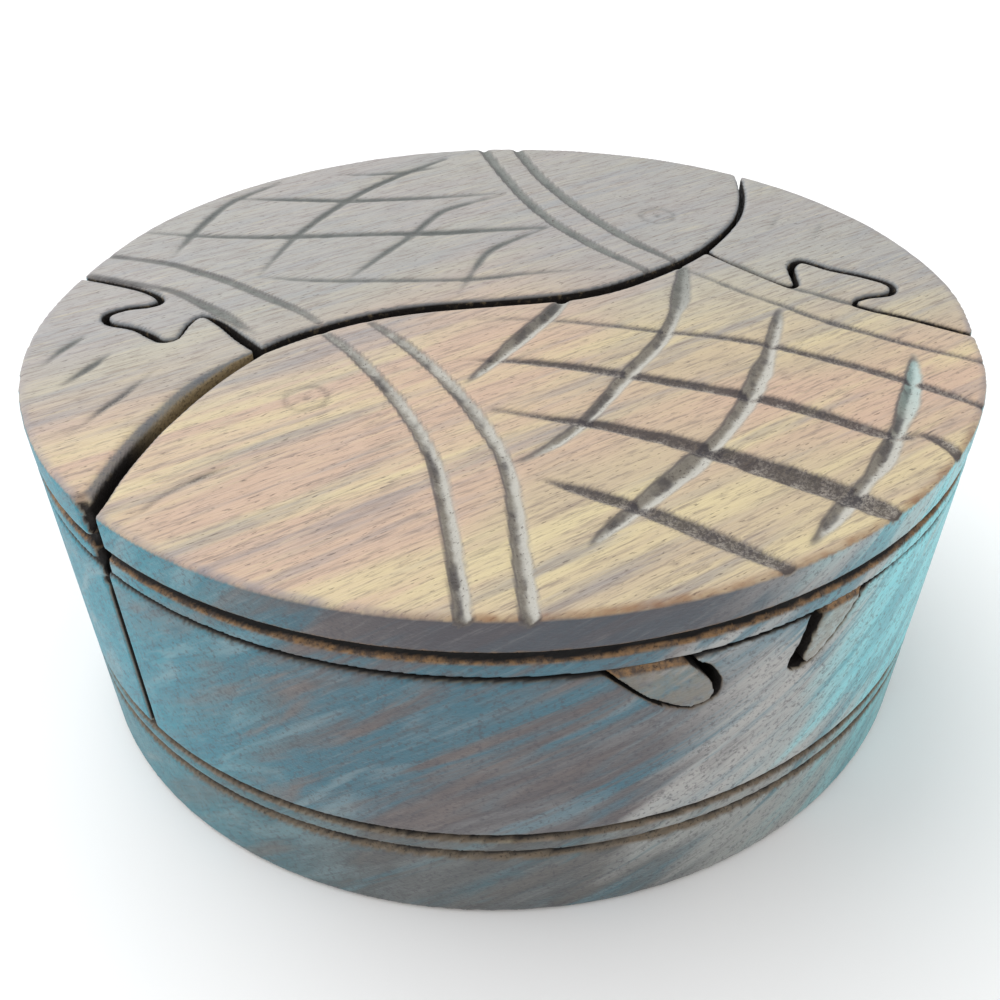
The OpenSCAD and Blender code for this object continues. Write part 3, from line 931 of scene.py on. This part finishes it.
def top_colour(s):
    """The top of the lid with its worn edges and its carving."""
    haze = back_stain_and_sheen(s)
    tint = lid_colour(s, haze)
    tint = s.mix(s.sum(s.mark("worn"), 0.7, "MULTIPLY"), tint, EDGE_WORN)
    front = s.fade(s.part(s.at, 1), -0.03 * WIDTH_SCALE, -0.044 * WIDTH_SCALE)
    not_left = s.fade(s.part(s.at, 0), -0.03, -0.012)
    rim_tint = s.mix(s.sum(front, not_left, "MULTIPLY"), EDGE_LILAC, EDGE_BROWN)
    rim_share = s.sum(s.mark("edge"), s.fade(s.blotch, 0.3, 0.7, 0.1, 0.8), "MULTIPLY")
    tint = s.mix(rim_share, tint, rim_tint)
    pale = s.mark("pale")
    tint = s.mix(pale, tint, gouge_colour(s, haze))
    # Painted shade: a dark band along the gouges' edges, stronger on the wall turned away from the
    # light.
    lip = s.sum(pale, s.sum(1.0, pale, "SUBTRACT"), "MULTIPLY")
    lip = s.sum(lip, s.fade(s.mark("lit"), 0.7, 0.3, 0.5, 2.8), "MULTIPLY")
    tint = s.mix(lip, tint, CUT_DARK)
    return s.mix(s.sum(s.mark("dark"), 0.9, "MULTIPLY"), tint, rough_cut_colour(s, haze))


def sawn_colour(s):
    """Saw cuts, speckled brown near the top and black with painted shade further down; the bare
    edge beside the front head; plain wood inside.
    """
    down = s.mark("down")
    tint = s.mix(s.fade(s.crumb, 0.5, 0.74, 0, 0.7), SAWN_DARK, SAWN_LIGHT)
    # Painted shade: the sawn faces turn black from about a millimetre below the top down.
    tint = s.mix(s.fade(down, 0.04, 0.22), tint, SAWN_DARK)
    bare = s.mix(s.fade(s.speck, 0.45, 0.7, 0, 0.6), BARE_WOOD, SAWN_DARK)
    tint = s.mix(s.sum(s.mark("bare"), s.fade(down, 0.7, 0.4), "MULTIPLY"), tint, bare)
    streaks = s.noise(s.turned(s.at, (0, 0, GRAIN_TURN), (1, 14, 4)), 60, 4, 0.6)
    inside = s.mix(s.fade(streaks, 0.35, 0.7), INSIDE_WOOD, INSIDE_DARK)
    inside = s.mix(s.fade(s.speck, 0.56, 0.7, 0, 0.5), inside, PORE)
    return s.mix(s.mark("inside"), tint, inside)


def groove_colour(s):
    """The brown flanks of the grooves, greyer in the two near the foot."""
    tint = s.mix(s.fade(s.crumb, 0.34, 0.62), FLANK_DARK, FLANK_LIGHT)
    low = s.fade(s.part(s.at, 2), 0.03 * HEIGHT_SCALE, 0.024 * HEIGHT_SCALE, 0, 0.85)
    tint = s.mix(low, tint, FLANK_LOW)
    return s.mix(s.fade(s.speck, 0.5, 0.7, 0, 0.7), tint, SAWN_DARK)


def wood_feel(s):
    """Duller where the wood is worked, and finely uneven along its fibres."""
    rough = s.fade(s.blotch, 0.2, 0.8, 0.4, 0.55)
    for mark in ("pale", "dark", "sawn", "flank"):
        rough = s.sum(rough, s.sum(s.mark(mark), 0.3, "MULTIPLY"))
    s.link(rough, s.surface.inputs["Roughness"])
    fibre = s.noise(s.turned(s.at, (0, 0, GRAIN_TURN), (1, 14, 14)), 240, 3, 0.6)
    worked = s.sum(s.sum(s.mark("pale"), s.mark("dark")), s.mark("sawn"))
    grit = s.sum(s.sum(s.speck, s.crumb), s.sum(worked, 1.4, "MULTIPLY"), "MULTIPLY")
    bump = s.add("ShaderNodeBump")
    bump.inputs["Strength"].default_value = 0.4
    bump.inputs["Distance"].default_value = 0.0003
    s.link(s.sum(fibre, grit), bump.inputs["Height"])
    s.link(bump.outputs[0], s.surface.inputs["Normal"])
    s.surface.inputs["Specular IOR Level"].default_value = 0.45


def wood(name):
    """The one wood of the box, coloured by each point's marks."""
    s = Shader(name)
    s.grains()
    tint = top_colour(s)
    tint = s.mix(s.mark("outer"), tint, side_colour(s))
    tint = s.mix(s.mark("sawn"), tint, sawn_colour(s))
    tint = s.mix(s.mark("flank"), tint, groove_colour(s))
    # Painted shade: black in the groove bottoms and the cut under the lid.
    tint = s.mix(s.mark("black"), tint, SHADE_BLACK)
    s.link(tint, s.surface.inputs["Base Color"])
    wood_feel(s)
    return s.material


# ---- stage, lights and camera -----------------------------------------------------------
# The camera, fitted to the photographed box: millimetres from the middle of the lid on a box
# 130 mm long, degrees down and to the right, and millimetres of lens on a 36 mm sensor.
CAMERA_PLACE = (-25.84, -130.18, 74.54)
CAMERA_DOWN = 39.39
CAMERA_RIGHT = 10.81
CAMERA_LENS = 38.42

STUDIO_LIGHT = 0.85
KEY_STRENGTH = 1.8
KEY_SPREAD = 80
KEY_AIM = (0.5, -0.62, -0.72)


def floor():
    size = 12 * HALF_LENGTH * MM
    mesh = bpy.data.meshes.new("floor")
    corners = [(-size, -size, 0), (size, -size, 0), (size, size, 0), (-size, size, 0)]
    mesh.from_pydata(corners, [], [(0, 1, 2, 3)])
    plane = bpy.data.objects.new("floor", mesh)
    bpy.context.scene.collection.objects.link(plane)
    s = Shader("floor_paint")
    paint = s.mix(s.noise(s.place(), 30, 2), colour(250, 250, 250), colour(253, 253, 253))
    s.link(paint, s.surface.inputs["Base Color"])
    s.surface.inputs["Roughness"].default_value = 0.9
    mesh.materials.append(s.material)


def lights():
    """Even white studio light, and one wide soft lamp high up behind and to the left."""
    world = bpy.data.worlds.new("studio")
    world.use_nodes = True
    world.node_tree.nodes["Background"].inputs["Color"].default_value = (1, 1, 1, 1)
    world.node_tree.nodes["Background"].inputs["Strength"].default_value = STUDIO_LIGHT
    bpy.context.scene.world = world
    lamp = bpy.data.lights.new("key", "SUN")
    lamp.energy = KEY_STRENGTH
    lamp.angle = math.radians(KEY_SPREAD)
    key = bpy.data.objects.new("key", lamp)
    key.rotation_euler = Vector(KEY_AIM).to_track_quat("-Z", "Y").to_euler()
    bpy.context.scene.collection.objects.link(key)


def camera():
    data = bpy.data.cameras.new("camera")
    data.sensor_width = 36
    data.lens = CAMERA_LENS
    data.clip_start = 0.005
    view = bpy.data.objects.new("camera", data)
    across, back, up = (length * LENGTH_SCALE * MM for length in CAMERA_PLACE)
    view.location = (across, back, high.z + up)
    view.rotation_euler = (math.radians(90 - CAMERA_DOWN), 0, math.radians(-CAMERA_RIGHT))
    bpy.context.scene.collection.objects.link(view)
    bpy.context.scene.camera = view


def build():
    camera()
    lights()
    floor()
    pieces = [
        bottom_plate(),
        wall_piece("front_wall_arc", "front_wall", 1),
        wall_piece("back_wall_arc", "back_wall", -1),
        fish_lid("front_fish", "front_fish_lid", "front_fish", 1,
                 FRONT_GILLS + FRONT_SCALES_DOWN, FRONT_SCALES_ALONG + RIGHT_TAIL_LINES,
                 HEAD_CRACKS),
        fish_lid("back_fish", "back_fish_lid", "back_fish", -1,
                 BACK_GILLS + LEFT_TAIL_LINES, BACK_SCALES, []),
        tail_key("left_tail", "left_tail_key", "left_tail", LEFT_TAIL_LINES, LEFT_FIN,
                 head_gap_edge, CORNER_CHIPS),
        tail_key("right_tail", "right_tail_key", "right_tail", RIGHT_TAIL_LINES, RIGHT_FIN,
                 plain_edge, []),
    ]
    walls, lids, tails = wood("wall_wood"), wood("lid_wood"), wood("tail_wood")
    for piece, material, slot in zip(
        pieces,
        [walls, walls, walls, lids, lids, tails, tails],
        ["wall_wood"] * 3 + ["lid_wood"] * 2 + ["tail_wood"] * 2,
    ):
        piece.data.materials.append(material)


bpy.context.scene.view_settings.view_transform = "Standard"
build()
